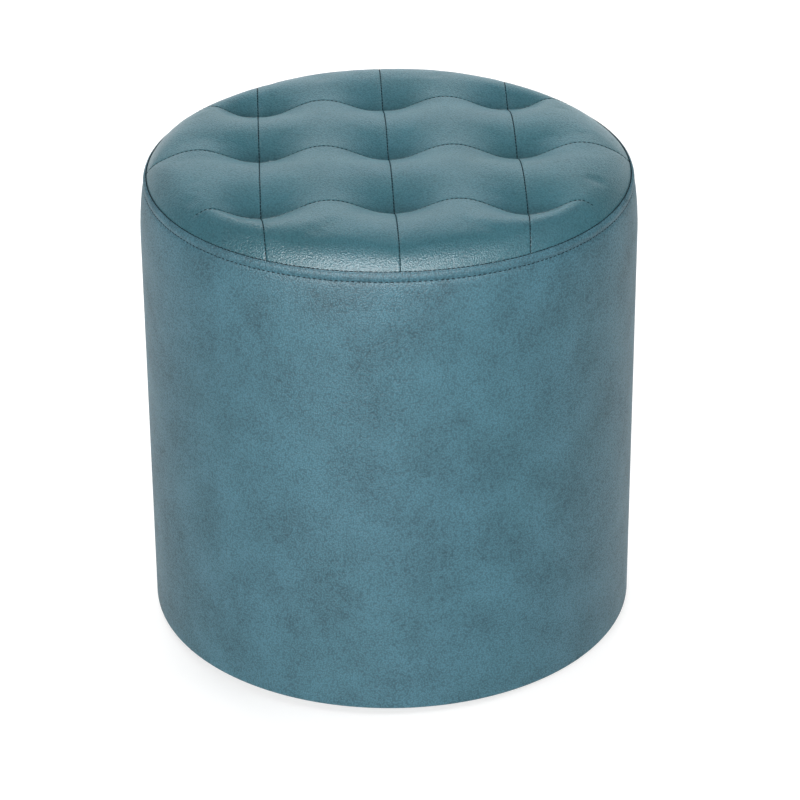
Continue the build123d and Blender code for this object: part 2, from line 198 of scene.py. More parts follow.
def faux_leather(name, colours, main, stain, grain, satin):
    """Polyurethane skin embossed with a pebble grain and dyed with a sponge: soft dark stains in loose
    groups, painted shade in the creases round the pebbles, and a satin face that goes pale where it
    turns away."""
    made, tree, place = new_material(name, IOR=1.5)
    drift = node(tree, NOISE, {"Vector": place, "Scale": 1 / (110 * MM), "Detail": 2.0})
    groups = node(tree, NOISE, {"Vector": place, "Scale": 1 / (38 * MM), "Detail": 2.0})
    stains = node(tree, NOISE, {"Vector": place, "Scale": 1 / (7 * MM), "Detail": 5.0, "Roughness": 0.65})
    # about 0.7 mm on the real skin, drawn at 1.25 mm so that the pebbles show
    pebbles = node(tree, CELLS, {"Vector": place, "Scale": 1 / (1.25 * MM)})
    pores = node(tree, NOISE, {"Vector": place, "Scale": 1 / (1.6 * MM), "Detail": 4.0})
    hue = node(tree, RANGE, {"Value": drift, "From Min": 0.38, "From Max": 0.62, "To Max": stain})
    dyes = {SHARE: hue, FIRST: main, SECOND: colours.leather_light}
    dye = node(tree, MIX, dyes, out=MIXED, data_type="RGBA")
    loose = {"From Min": 0.3, "From Max": 0.68, "To Min": 0.12 * stain, "To Max": 0.9 * stain}
    group = node(tree, RANGE, {"Value": groups, **loose})
    dab = node(tree, RANGE, {"Value": stains, "From Min": 0.3, "From Max": 0.75, "To Min": 0.4})
    # painted shade: the creases round the pebbles are coloured darker, more so with a stronger grain
    crease_shade = node(tree, RANGE, {"Value": pebbles, "From Min": 0.2, "From Max": 0.8, "To Max": 0.6 * grain})
    dark = node(tree, MATH, {0: group, 1: dab, 2: crease_shade}, operation="MULTIPLY_ADD")
    # the dye's stains and the creases' painted shade darken the base colour together
    stains_and_crease_shade = {SHARE: dark, FIRST: dye, SECOND: colours.leather_dark}
    base = node(tree, MIX, stains_and_crease_shade, out=MIXED, data_type="RGBA")
    relief = node(tree, MATH, {0: pebbles, 1: pores}, operation="ADD")
    bump = node(tree, BUMP, {"Height": relief, "Strength": grain, "Distance": 0.35 * MM}, invert=True)
    # stained skin has lost some of its shine, and the creases' painted shade makes them dull too
    dull = node(tree, RANGE, {"Value": dark, "To Min": satin, "To Max": satin + 0.16})
    set_shader(tree, Base_Color=base, Normal=bump, Roughness=dull)
    return made


def spun_thread(name, shade, ply_mm, roughness):
    """Twisted polyester or cotton: a dull face with the slanting ridges of its plies, and painted shade
    in the grooves between them.
    """
    made, tree, place = new_material(name, Roughness=roughness, Specular_IOR_Level=0.2)
    twist = {"Vector": place, "Scale": 0.3 / (ply_mm * MM)}
    plies = node(tree, WAVES, twist, out="Fac", bands_direction="DIAGONAL")
    # painted shade: the grooves between the plies are coloured darker by the same waves that sink them
    tint_and_relief(tree, plies, (shaded(shade, 0.55), shade), plies, strength=0.4, depth_mm=0.1)
    return made


def foam_or_fibre(name, shade, cell_mm, roughness):
    """Cut foam or carded fibre: matt, pitted by open cells, with a faint uneven tint."""
    made, tree, place = new_material(name, Roughness=roughness)
    cells = node(tree, CELLS, {"Vector": place, "Scale": 1 / (cell_mm * MM)})
    tint = node(tree, NOISE, {"Vector": place, "Scale": 1 / (40 * MM), "Detail": 4.0})
    tint_and_relief(tree, tint, (shaded(shade, 0.78), shade), cells, strength=0.6, depth_mm=0.5)
    return made


def sawn_wood(name, shade, stretch, band_mm):
    """Softwood or birch veneer: pale, with darker lines of late wood drawn out along the grain."""
    made, tree, place = new_material(name, Roughness=0.55)
    along = node(tree, "ShaderNodeMapping", {"Vector": place, "Scale": stretch})
    bands = {"Scale": 1 / (band_mm * MM), "Detail": 5.0, "Roughness": 0.6, "Distortion": 0.4}
    lines = node(tree, NOISE, {"Vector": along, **bands})
    dark = [0.6 * shade[0], 0.5 * shade[1], 0.4 * shade[2], 1.0]
    late = node(tree, RANGE, {"Value": lines, "From Min": 0.4, "From Max": 0.7})
    tint_and_relief(tree, late, (shade, dark), lines, strength=0.25, depth_mm=0.3)
    return made


def pressed_fibreboard(name, shade):
    """Hardboard: brown wood fibre pressed smooth, with short dark and pale fibres in its face."""
    made, tree, place = new_material(name, Roughness=0.5)
    fibres = node(tree, NOISE, {"Vector": place, "Scale": 1 / (2 * MM), "Detail": 6.0, "Roughness": 0.75})
    pale = shaded(shade, 1.5)
    tint_and_relief(tree, fibres, (shade, pale), fibres, strength=0.2, depth_mm=0.1)
    return made


def zinc_plated(name, shade):
    """Steel wire or sheet, electroplated: a grey metal face, clouded and a little dull."""
    made, tree, place = new_material(name, Metallic=1.0)
    clouds = node(tree, NOISE, {"Vector": place, "Scale": 1 / (4 * MM), "Detail": 4.0})
    shades = {SHARE: clouds, FIRST: shaded(shade, 0.7), SECOND: shade}
    base = node(tree, MIX, shades, out=MIXED, data_type="RGBA")
    dull = node(tree, RANGE, {"Value": clouds, "To Min": 0.25, "To Max": 0.5})
    set_shader(tree, Base_Color=base, Roughness=dull)
    return made


def spunbond_cloth(name, shade):
    """Spunbond polypropylene: black felt-like cloth with a lattice of small welded dots."""
    made, tree, place = new_material(name, Roughness=0.85)
    dots = node(tree, CELLS, {"Vector": place, "Scale": 1 / (2.2 * MM), "Randomness": 0.15})
    fibres = node(tree, NOISE, {"Vector": place, "Scale": 1 / (0.9 * MM), "Detail": 4.0})
    pale = shaded(shade, 2.2, 0.01)
    weld = node(tree, RANGE, {"Value": dots, "From Min": 0.25, "From Max": 0.5})
    felt = node(tree, MATH, {0: weld, 1: fibres}, operation="MULTIPLY")
    tint_and_relief(tree, felt, (shade, pale), felt, strength=0.5, depth_mm=0.2)
    return made


def moulded_plastic(name, shade):
    """Injection-moulded polyethylene: near black, with the fine spark grain of its mould and rub marks."""
    made, tree, place = new_material(name)
    grain = node(tree, NOISE, {"Vector": place, "Scale": 1 / (0.6 * MM), "Detail": 3.0})
    rub = node(tree, NOISE, {"Vector": place, "Scale": 1 / (9 * MM), "Detail": 5.0})
    pale = shaded(shade, 1.0, 0.02)
    tint_and_relief(tree, rub, (shade, pale), grain, strength=0.25, depth_mm=0.1)
    dull = node(tree, RANGE, {"Value": rub, "To Min": 0.4, "To Max": 0.65})
    set_shader(tree, Roughness=dull)
    return made


# Steps that several pieces share

# faces that meet at a flatter angle than this are shaded smooth
SMOOTH_ANGLE = radians(50)


def select_only(piece):
    """Leaves one object selected and active."""
    bpy.ops.object.select_all(action="DESELECT")
    piece.select_set(True)
    bpy.context.view_layer.objects.active = piece


def mesh_piece(name, points, faces):
    """A new mesh object at the origin."""
    mesh = bpy.data.meshes.new(name)
    mesh.from_pydata(points, [], faces)
    mesh.update()
    piece = bpy.data.objects.new(name, mesh)
    bpy.context.scene.collection.objects.link(piece)
    return piece


def apply_modifiers(piece):
    """Applies every modifier of a piece, in order."""
    select_only(piece)
    for modifier in list(piece.modifiers):
        bpy.ops.object.modifier_apply(modifier=modifier.name)


def edit_all(piece):
    """Enters edit mode with all of one piece selected."""
    select_only(piece)
    bpy.ops.object.mode_set(mode="EDIT")
    bpy.ops.mesh.select_all(action="SELECT")


def thicken(piece, thickness):
    """Gives a skin its thickness, away from the side it faces."""
    wall = piece.modifiers.new("Thickness", "SOLIDIFY")
    wall.thickness, wall.offset = thickness, -1
    apply_modifiers(piece)


def face_outwards():
    """Turns the faces of the piece in edit mode outwards, and leaves edit mode."""
    bpy.ops.mesh.select_all(action="SELECT")
    bpy.ops.mesh.normals_make_consistent(inside=False)
    bpy.ops.object.mode_set(mode="OBJECT")


def dress(piece, finish, slot, *nodes):
    """Gives a finished piece its material, the CAD nodes it stands for and its body. Its record slot is
    not used.
    """
    piece.data.materials.clear()
    piece.data.materials.append(finish)
    select_only(piece)
    bpy.ops.object.shade_smooth_by_angle(angle=SMOOTH_ANGLE)
    if nodes:
        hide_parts(*nodes)
    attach(piece, "root")
    return piece


def lathe(name, profile, segments):
    """Turns a line of (radius, height) points into a skin, ring by ring, from a circle."""
    bpy.ops.object.select_all(action="DESELECT")
    radius, height = profile[0]
    bpy.ops.mesh.primitive_circle_add(vertices=segments, radius=radius, location=(0, 0, height))
    piece = bpy.context.object
    piece.name = piece.data.name = name
    bpy.ops.object.transform_apply()
    edit_all(piece)
    for next_radius, next_height in profile[1:]:
        bpy.ops.mesh.extrude_edges_move(TRANSFORM_OT_translate={"value": (0, 0, next_height - height)})
        share = next_radius / radius
        bpy.ops.transform.resize(value=(share, share, 1), center_override=(0, 0, 0))
        radius, height = next_radius, next_height
    face_outwards()
    return piece


def arc(centre, radius, start, end, steps):
    """Points of an arc in the (radius, height) plane, from one angle to another, in degrees."""
    turns = [radians(start + (end - start) * step / steps) for step in range(steps + 1)]
    return [(centre[0] + radius * cos(turn), centre[1] + radius * sin(turn)) for turn in turns]


def smooth(share):
    """Eases from 0 to 1 and stays there."""
    share = min(max(0.0, share), 1.0)
    return share**2 * (3 - 2 * share)


def rolled_drop(roll, away):
    """How far an edge with this radius has turned in at a distance from its seam."""
    return roll - sqrt(max(0.0, roll**2 - (roll - away) ** 2)) if away < roll else 0.0


# The seat

# the seat rounds off most gently towards the back right, over a little more than half of the rim
FLAT_SIDE, FLAT_REACH = radians(70), 0.25
# fullness of a swell: an arch, or flatter on top
ARCH, FULL = 2, 3
# share of a panel's rise, front to back, that eases level into its seams
SMOOTH_ROWS = 0.7
# the middle row's seam lies level with its panels over this width on each side
LEVEL_SEAM = 40 * MM
# how far each tuft was pulled off the grid towards the back, in mm, by column and row
TUFT_DRIFT = {
    (-1, -1): 2, (0, -1): 6, (1, -1): -3,
    (-1, 0): 6, (0, 0): 4, (1, 0): 0,
    (-1, 1): -7, (0, 1): 2, (1, 1): -3,
}
# reach of a tuft's pull, and the width by the rim over which it fades
TUFT_PULL, RIM_FADE = 42 * MM, 45 * MM
# the back settles in over this depth, but not this close to a tuft
SETTLE_RUN, TUFT_HOLD = 90 * MM, 14 * MM
# the higher, the closer the rim's lift keeps to the very front
LIFT_POWER = 5
# share by which the column seams lean to the middle at the front of the rim
FRONT_DRAW = 0.045
# the front row's seam fades this far past its outer tufts, over this run
FADE_START, FADE_RUN = 34 * MM, 20 * MM
# shallowest share of its depth at which a seam shows stitches
STITCHED = 0.3
# share of a seam's roll that the panels have at the rim
RIM_ROLL = 0.25
# distances of the first rows of points from a seam, and counts of even rows between them
SEAM_STEPS = [step * MM for step in (0, 0.15, 0.45, 0.9, 1.5, 3.2, 5.6, 8.6)]
MIDDLE_CELLS, OUTER_CELLS, CORNER_CELLS = 26, 20, 9
# the cloth is pinned this near a seam or the rim, and held by a share a little further
PINNED, EASED, EASED_HOLD = SEAM_STEPS[4], SEAM_STEPS[5], 0.6
# hold along the middle row's seam, and the distance over which a full hold would fade
LEVEL_HOLD, LEVEL_FADE = 0.9, 18 * MM
# frames for the cloth to settle, and the furthest that the wadding may push it
SETTLE_FRAMES, MOST_PUSH = 20, 7 * MM


def swell(share, fullness):
    """Rise and fall between two tufts or seams, from 0 to 1 and back."""
    return 1 - abs(2 * share - 1) ** fullness


def wave(share):
    """Rise and fall of a seam that runs level through its tufts."""
    return sin(pi * share) ** 2


def span_share(sizes, offset):
    """How far a point lies along its panel, across the seams on one axis."""
    offset = abs(offset)
    if offset <= sizes.tuft_spacing:
        return offset / sizes.tuft_spacing
    return (offset - sizes.tuft_spacing) / (sizes.rim_radius + sizes.edge_reach - sizes.tuft_spacing)


def seat_height(sizes, x, y):
    """Height of the seat before its wadding pushes it up: low at tufts, round towards the rim."""
    across, along = min(1.0, span_share(sizes, x)), min(1.0, span_share(sizes, y))
    low = (1 - wave(across)) * (1 - swell(along, ARCH))
    depth = (1 - SMOOTH_ROWS) * swell(along, FULL) + SMOOTH_ROWS * wave(along)
    full = swell(across, FULL) * depth * smooth(abs(y) / LEVEL_SEAM)
    pillow = (
        sizes.seam_rise
        - (sizes.seam_rise - sizes.tuft_rise) * low
        + (sizes.panel_rise - sizes.seam_rise) * full
    )
    run = sizes.edge_run + sizes.back_run * smooth(cos(atan2(y, x) - FLAT_SIDE) + FLAT_REACH)
    ball = (run**2 + sizes.edge_rise**2) / (2 * sizes.edge_rise)
    reach = min(max(0.0, hypot(x, y) - sizes.rim_radius + run), run)
    edge = sizes.edge_rise - ball + sqrt(ball**2 - reach**2)
    blend = 5 * MM
    overlap = max(0.0, 1 - abs(pillow - edge) / blend)
    return sizes.rim_height + min(pillow, edge) - blend * overlap**2 / 4


def spread(distance, cells):
    """Distances along a line: fine steps at both ends, even ones between."""
    share = min(1.0, distance / (3 * SEAM_STEPS[-1]))
    ends = [step * share for step in SEAM_STEPS]
    inner = distance - 2 * ends[-1]
    middle = [ends[-1] + inner * cell / cells for cell in range(1, cells)]
    return ends + middle + [distance - step for step in reversed(ends)]


def seat_plan(sizes):
    """Plan points of each panel, in rows from seam to seam or from seam to rim."""
    spacing, rim = sizes.tuft_spacing, sizes.rim_radius
    inner = spread(spacing, MIDDLE_CELLS)

    def outward(offset):
        return [spacing + step for step in spread(sqrt(rim**2 - offset**2) - spacing, OUTER_CELLS)]

    seam_ends = outward(spacing)
    starts = [(x, spacing) for x in reversed(seam_ends)] + [(spacing, y) for y in seam_ends[1:]]
    corner = []
    for x, y in starts:
        start = hypot(x, y)
        shares = [1 + step / start for step in spread(rim - start, CORNER_CELLS)]
        corner.append([(x * share, y * share) for share in shares])
    quarter = {
        (0, 0): [[(x, y) for y in inner] for x in inner],
        (0, 1): [[(x, y) for y in outward(x)] for x in inner],
        (1, 0): [[(y, x) for y in outward(x)] for x in inner],
        (1, 1): corner,
    }
    plan = {}
    for side in (-1, 1):
        for depth in (-1, 1):
            for (column, row), rows in quarter.items():
                place = [2.5 + side * (column + 0.5), 2.5 + depth * (row + 0.5)]
                name = f"seat_panel_row{place[1]:.0f}_col{place[0]:.0f}"
                plan[name] = [[(side * x, depth * y) for x, y in line] for line in rows]
    return plan


def plan_key(point):
    """Key that the shared points of neighbouring panels have in common."""
    return round(point[0] * 1e6), round(point[1] * 1e6)


def plan_faces(rows):
    """Faces between rows of plan points, as keys, all turned upwards."""
    faces = []
    for line, following in zip(rows, rows[1:]):
        for ring in zip(line, following, following[1:], line[1:]):
            area = sum(a[0] * b[1] - b[0] * a[1] for a, b in zip(ring, ring[1:] + ring[:1]))
            keys = list(dict.fromkeys(plan_key(point) for point in (ring if area > 0 else ring[::-1])))
            if len(keys) > 2:
                faces.append(keys)
    return faces


def sewn_piece(name, places, panels):
    """A mesh of plan points, with their places in space by key, and the faces of its panels."""
    index = {key: number for number, key in enumerate(places)}
    faces = [[index[key] for key in face] for rows in panels for face in plan_faces(rows)]
    return mesh_piece(name, list(places.values()), faces)


def seam_distance(sizes, x, y):
    """Distance in plan from the nearest seam of the seat."""
    lines = (-sizes.tuft_spacing, 0.0, sizes.tuft_spacing)
    return min(abs(value - line) for value in (x, y) for line in lines)


def inflate(sizes, plan):
    """The seat's plan points in space, after its wadding has pushed the sewn panels up."""
    points = {plan_key(point): point for rows in plan.values() for line in rows for point in line}
    start = {key: Vector((x, y, seat_height(sizes, x, y))) for key, (x, y) in points.items()}
    sheet = sewn_piece("sewn_seat", start, plan.values())
    held = sheet.vertex_groups.new(name="held")
    for number, (x, y) in enumerate(points.values()):
        near = min(seam_distance(sizes, x, y), sizes.rim_radius - hypot(x, y))
        hold = max(0.0, LEVEL_HOLD - abs(y) / LEVEL_FADE)
        if near < EASED:
            hold = 1.0 if near < PINNED else max(EASED_HOLD, hold)
        if hold > 0:
            held.add([number], hold, "REPLACE")
    cloth = sheet.modifiers.new("Wadding", "CLOTH")
    cloth.collision_settings.use_collision = False
    leather = cloth.settings
    leather.quality = 6
    leather.mass = 0.3
    leather.tension_stiffness = leather.compression_stiffness = 25
    leather.shear_stiffness = 15
    leather.bending_stiffness = 1.5
    leather.use_pressure = True
    leather.uniform_pressure_force = sizes.pressure
    leather.shrink_min = -sizes.excess
    leather.vertex_group_mass = "held"
    leather.effector_weights.gravity = 0
    scene = bpy.context.scene
    for step in range(1, SETTLE_FRAMES + 1):
        scene.frame_set(step)
    apply_modifiers(sheet)
    scene.frame_set(1)
    pushed = {}
    for (key, old), vertex in zip(start.items(), sheet.data.vertices):
        move = vertex.co - old
        pushed[key] = gathered(sizes, old + move * min(1.0, MOST_PUSH / max(move.length, 1e-9)))
    bpy.data.objects.remove(sheet)
    return pushed


def gathered(sizes, point):
    """A point of the seat, lifted at the front, settled at the back, moved with its tufts and drawn
    in where the column seams run out at the front."""
    x, y, z = point
    out = hypot(x, y)
    shift = total = 0.0
    nearest = sizes.tuft_spacing
    for (column, row), drift in TUFT_DRIFT.items():
        gap = hypot(x - column * sizes.tuft_spacing, y - row * sizes.tuft_spacing)
        weight = exp(-((gap / TUFT_PULL) ** 2) / 2)
        nearest = min(nearest, gap)
        shift += weight * drift * MM
        total += weight
    inside = smooth((sizes.rim_radius - out) / RIM_FADE)
    z += sizes.front_lift * max(0.0, -y / sizes.rim_radius) ** LIFT_POWER
    z -= sizes.back_settle * smooth(y / SETTLE_RUN) * smooth(nearest / TUFT_HOLD) * inside
    y += shift / max(1.0, total) * inside
    share = min(max(0.0, (-y - sizes.tuft_spacing) / (sizes.rim_radius - sizes.tuft_spacing)), 1.0)
    if share > 0:
        out = hypot(x, y)
        x *= 1 - FRONT_DRAW * share
        y = -sqrt(out**2 - x**2)
    return Vector((x, y, z))


def seam_depth(sizes, x, axis, line):
    """Share of its full depth that a seam is sewn to: the front row's fades out before the rim."""
    if axis == 1 and line < 0:
        return 1 - min(max(0.0, (abs(x) - sizes.tuft_spacing - FADE_START) / FADE_RUN), 1.0)
    return 1.0


def rolled(sizes, x, y, point):
    """A point of a panel, turned down where it nears a seam or the rim."""
    roll, drop = sizes.seam_roll, 0.0
    for axis, value in ((0, x), (1, y)):
        for line in (-sizes.tuft_spacing, 0.0, sizes.tuft_spacing):
            drop += seam_depth(sizes, x, axis, line) * rolled_drop(roll, abs(value - line))
    drop += RIM_ROLL * rolled_drop(roll, max(0.0, sizes.rim_radius - hypot(x, y)))
    return point - Vector((0, 0, drop))


class POUF_OT_seat_panels(bpy.types.Operator):
    """Sews the seat's panels into one cloth, inflates it and cuts it into finished panels"""

    bl_idname = "pouf.seat_panels"
    bl_label = "Seat panels"

    def execute(self, context):
        sizes, colours = context.scene.pouf_sizes, context.scene.pouf_colours
        # the seat's main colour is its own copy of the leather's, toned to how the seat is lit: painted
        # light and shade
        finish = faux_leather(
            "faux_leather_seat", colours, colours.leather_seat, stain=0.22, grain=0.68, satin=0.34
        )
        plan = seat_plan(sizes)
        pushed = inflate(sizes, plan)
        for name, rows in plan.items():
            points = {plan_key(point): point for line in rows for point in line}
            places = {key: rolled(sizes, *point, pushed[key]) for key, point in points.items()}
            panel = sewn_piece(name.replace("seat_panel", "seat_cover"), places, [rows])
            edit_all(panel)
            bpy.ops.mesh.region_to_loop()
            bpy.ops.mesh.extrude_edges_move(TRANSFORM_OT_translate={"value": (0, 0, -sizes.seam_turn)})
            bpy.ops.object.mode_set(mode="OBJECT")
            thicken(panel, sizes.leather)
            dress(panel, finish, "faux_leather", name)
        save_seams(sizes, pushed)
        return {"FINISHED"}


# the finished seat's points, and the line of each of its seams by axis and number
SEAM_LINES = {}


def save_seams(sizes, pushed):
    """Keeps the line of each seam on the finished seat for its stitches, and the seat for its wadding."""
    SEAM_LINES["seat"] = pushed
    for axis in (0, 1):
        for line in (-1, 0, 1):
            offset = line * sizes.tuft_spacing
            found = [point for key, point in pushed.items() if abs(key[axis] - offset * 1e6) < 2]
            SEAM_LINES[axis, line] = sorted(found, key=lambda point: point[1 - axis])


# Stitches

# share of the pitch that a stitch fills, where stitches are close and where they lie apart
CLOSE, APART = 0.95, 0.7
# the rim seam's thread against the others, and its place outside and below the rim
RIM_THREAD, RIM_OUT, RIM_SUNK = 1.3, 0.35 * MM, 0.1 * MM
# the seat's seams have no stitch this close to the rim
RIM_CLEAR = 0.5 * MM


def model_stitch(stitch, thread):
    """Models one stitch along X: a short round thread, thick in the middle, dipping at its ends."""
    bpy.ops.object.select_all(action="DESELECT")
    bpy.ops.mesh.primitive_cylinder_add(
        vertices=8, radius=thread / 2, depth=stitch, rotation=(0, pi / 2, 0)
    )
    piece = bpy.context.object
    bpy.ops.object.transform_apply()
    bpy.ops.object.mode_set(mode="EDIT")
    for share in (-0.38, 0.0, 0.38):
        bpy.ops.mesh.select_all(action="SELECT")
        bpy.ops.mesh.bisect(plane_co=(share * stitch, 0, 0), plane_no=(1, 0, 0))
    for share, girth, drop in ((-0.5, 0.35, 0.75), (-0.38, 0.9, 0.2), (0.38, 0.9, 0.2), (0.5, 0.35, 0.75)):
        skin = bmesh.from_edit_mesh(piece.data)
        for vertex in skin.verts:
            vertex.select_set(abs(vertex.co.x - share * stitch) < 1e-5)
        skin.select_flush_mode()
        bmesh.update_edit_mesh(piece.data)
        bpy.ops.transform.resize(value=(1, girth, girth), center_override=(share * stitch, 0, 0))
        bpy.ops.transform.translate(value=(0, 0, -drop * thread))
    bpy.ops.object.mode_set(mode="OBJECT")
    return piece


def sew(name, stitch, places, sunk):
    """Copies a stitch to each place, a point with the direction along the seam and the way out of it."""
    copies = []
    for point, along, out in places:
        along = along.normalized()
        side = out.cross(along).normalized()
        turn = Matrix((along, side, along.cross(side))).transposed().to_4x4()
        copy = bpy.data.objects.new(name, stitch.data.copy())
        copy.data.transform(Matrix.Translation(point) @ turn @ Matrix.Translation((0, 0, -sunk)))
        bpy.context.scene.collection.objects.link(copy)
        copies.append(copy)
    select_only(copies[0])
    for copy in copies:
        copy.select_set(True)
    bpy.ops.object.join()
    copies[0].name = copies[0].data.name = name
    return copies[0]


def walk(line, pitch):
    """Points and directions at an even pitch along a line of points."""
    places, left = [], pitch / 2
    for start, end in zip(line, line[1:]):
        step = (end - start).length
        while left < step:
            places.append((start.lerp(end, left / step), end - start))
            left += pitch
        left -= step
    return places


class POUF_OT_seat_stitches(bpy.types.Operator):
    """Sews the stitches that show in the seams of the seat and round its rim"""

    bl_idname = "pouf.seat_stitches"
    bl_label = "Seat stitches"

    def execute(self, context):
        sizes, colours = context.scene.pouf_sizes, context.scene.pouf_colours
        finish = spun_thread("sewing_thread_polyester", colours.thread, 0.6, 0.7)
        up = Vector((0, 0, 1))
        # the rows' stitches lie apart and high, the columns' close and deep
        for axis, across, share, sunk in ((1, "row", APART, 0.1 * MM), (0, "column", CLOSE, 0.35 * MM)):
            stitch = model_stitch(share * sizes.seat_stitch, sizes.thread)
            for line in (-1, 0, 1):
                places = [
                    (point, along, up)
                    for point, along in walk(SEAM_LINES[axis, line], sizes.seat_stitch)
                    if hypot(point.x, point.y) < sizes.rim_radius - RIM_CLEAR
                    and seam_depth(sizes, point.x, axis, line) > STITCHED
                ]
                piece = sew(f"seat_stitches_{across}_{line + 2}", stitch, places, sunk)
                dress(piece, finish, "sewing_thread")
            bpy.data.objects.remove(stitch)
        stitch = model_stitch(CLOSE * sizes.seat_stitch, RIM_THREAD * sizes.thread)
        radius, height = sizes.rim_radius + RIM_OUT, sizes.rim_height - RIM_SUNK
        places = ring_places(sizes, radius, height, sizes.seat_stitch, up)
        dress(sew("rim_seam_thread", stitch, places, 0.0), finish, "sewing_thread")
        bpy.data.objects.remove(stitch)
        return {"FINISHED"}


# The side

# height below the rim over which the side leans in and follows the rim's lift
SHOULDER = 45 * MM
# rings of the hem under the base, from its inner edge outwards
HEM_RADII = [radius * MM for radius in (128, 140, 152, 164, 174, 182)]
# rings up the side, and steps round it
WALL_ROWS, WALL_STEPS = 42, 288
# the side's top, in mm out from the side and up from the rim: it leans in to the topstitch's groove,
# swells into the band and folds down inside the rim
LEAN = (
    (-0.15, -38), (-0.6, -30), (-1.25, -22), (-2.05, -15), (-2.75, -10.8),
    (-3.3, -8.7), (-3.8, -7.7), (-4.1, -7.0), (-3.95, -6.4),
)
BAND = (
    (-3.6, -5.5), (-3.45, -4.4), (-3.55, -3.3), (-3.85, -2.3),
    (-4.3, -1.4), (-4.75, -0.7), (-5.1, -0.25), (-5.4, 0),
)
FOLD = ((-5.58, -0.12), (-5.65, -0.5), (-5.65, -1.5), (-5.65, -3.0), (-5.65, -6.5), (-5.65, -11.0))
# depth of the topstitch's thread inside the side, and of the back seam's
GROOVE, BACK_SUNK = 4.0 * MM, 0.7 * MM
# share of a full roll that the leather has at the back seam
BACK_ROLL = 0.75


def lifted(sizes, point):
    """A point of the side's top, raised with the rim at the front."""
    x, y, z = point
    share = smooth((z - sizes.rim_height + SHOULDER) / SHOULDER)
    return Vector((x, y, z + sizes.front_lift * max(0.0, -y / hypot(x, y)) ** LIFT_POWER * share))


def ring_places(sizes, radius, height, pitch, out=None):
    """Places of stitches round the pouf, facing outwards unless another way is given."""
    places = []
    count = round(2 * pi * radius / pitch)
    for number in range(count):
        turn = 2 * pi * (number + 0.5) / count
        away = Vector((cos(turn), sin(turn), 0))
        point = lifted(sizes, (away.x * radius, away.y * radius, height))
        places.append((point, Vector((-sin(turn), cos(turn), 0)), out or away))
    return places


def side_profile(sizes):
    """Outside of the side cover, from the hem's inner edge to the edge turned down inside the rim."""
    side, rim, low = sizes.side_radius, sizes.rim_height, SIDE_LOW[2]
    bend = 2 * MM
    hem = [(radius, low) for radius in HEM_RADII]
    corner = arc((side - bend, low + bend), bend, -90, 0, 8)
    shoulder = rim - SHOULDER
    rows = range(1, WALL_ROWS + 1)
    wall = [(side, low + bend + (shoulder - low - bend) * row / WALL_ROWS) for row in rows]
    top = [(side + out * MM, rim + up * MM) for out, up in LEAN + BAND + FOLD]
    return hem + corner + wall + top


class POUF_OT_side_cover(bpy.types.Operator):
    """Turns the side cover from its profile, seams it at the back and gives it thickness"""

    bl_idname = "pouf.side_cover"
    bl_label = "Side cover"

    def execute(self, context):
        sizes, colours = context.scene.pouf_sizes, context.scene.pouf_colours
        cover = lathe("side_cover_leather", side_profile(sizes), WALL_STEPS)
        roll, foot = sizes.seam_roll, SIDE_LOW[2] + MM
        bpy.ops.object.mode_set(mode="EDIT")
        bpy.ops.mesh.select_all(action="DESELECT")
        skin = bmesh.from_edit_mesh(cover.data)
        for edge in skin.edges:
            ends = [vertex.co for vertex in edge.verts]
            edge.select_set(all(abs(end.x) < 1e-5 and end.y > 0 and end.z > foot for end in ends))
        bmesh.update_edit_mesh(cover.data)
        bpy.ops.mesh.bevel(offset=roll, segments=6, profile=0.5, affect="EDGES")
        bpy.ops.object.mode_set(mode="OBJECT")
        for vertex in cover.data.vertices:
            x, y, z = vertex.co
            if y > 0 and z > foot:
                vertex.co.y -= BACK_ROLL * rolled_drop(roll, abs(x))
            vertex.co = lifted(sizes, vertex.co)
        thicken(cover, sizes.leather)
        # the side's main colour is a paler copy of the leather's, toned to how the side is lit: painted
        # light and shade
        finish = faux_leather(
            "faux_leather_side", colours, colours.leather_side_as_lit, stain=0.5, grain=0.88, satin=0.46
        )
        dress(cover, finish, "faux_leather", "side_cover")
        return {"FINISHED"}


class POUF_OT_rim_topstitch(bpy.types.Operator):
    """Sews the row of stitches below the rim and the stitches in the back seam"""

    bl_idname = "pouf.rim_topstitch"
    bl_label = "Rim topstitch"

    def execute(self, context):
        sizes = context.scene.pouf_sizes
        finish = bpy.data.materials["sewing_thread_polyester"]
        height = (STITCH_LOW[2] + STITCH_HIGH[2]) / 2
        places = ring_places(sizes, sizes.side_radius - GROOVE, height, sizes.rim_stitch)
        stitch = model_stitch(APART * sizes.rim_stitch, sizes.thread)
        row = sew("rim_topstitch_thread", stitch, places, 0.0)
        dress(row, finish, "sewing_thread", "rim_topstitch")
        # from above the hem up to the groove, leaning in with the side
        seam, high = sizes.side_radius - BACK_SUNK, sizes.rim_height
        line = [
            Vector((0, seam, SIDE_LOW[2] + 8 * MM)),
            Vector((0, seam, high - 40 * MM)),
            Vector((0, seam - 1.2 * MM, high - 22 * MM)),
            Vector((0, seam - 2.5 * MM, high - 12 * MM)),
        ]
        places = [(point, along, Vector((0, 1, 0))) for point, along in walk(line, sizes.rim_stitch)]
        column = sew("back_seam_thread", stitch, places, 0.0)
        dress(column, finish, "sewing_thread")
        bpy.data.objects.remove(stitch)
        return {"FINISHED"}


# Padding and dust cover


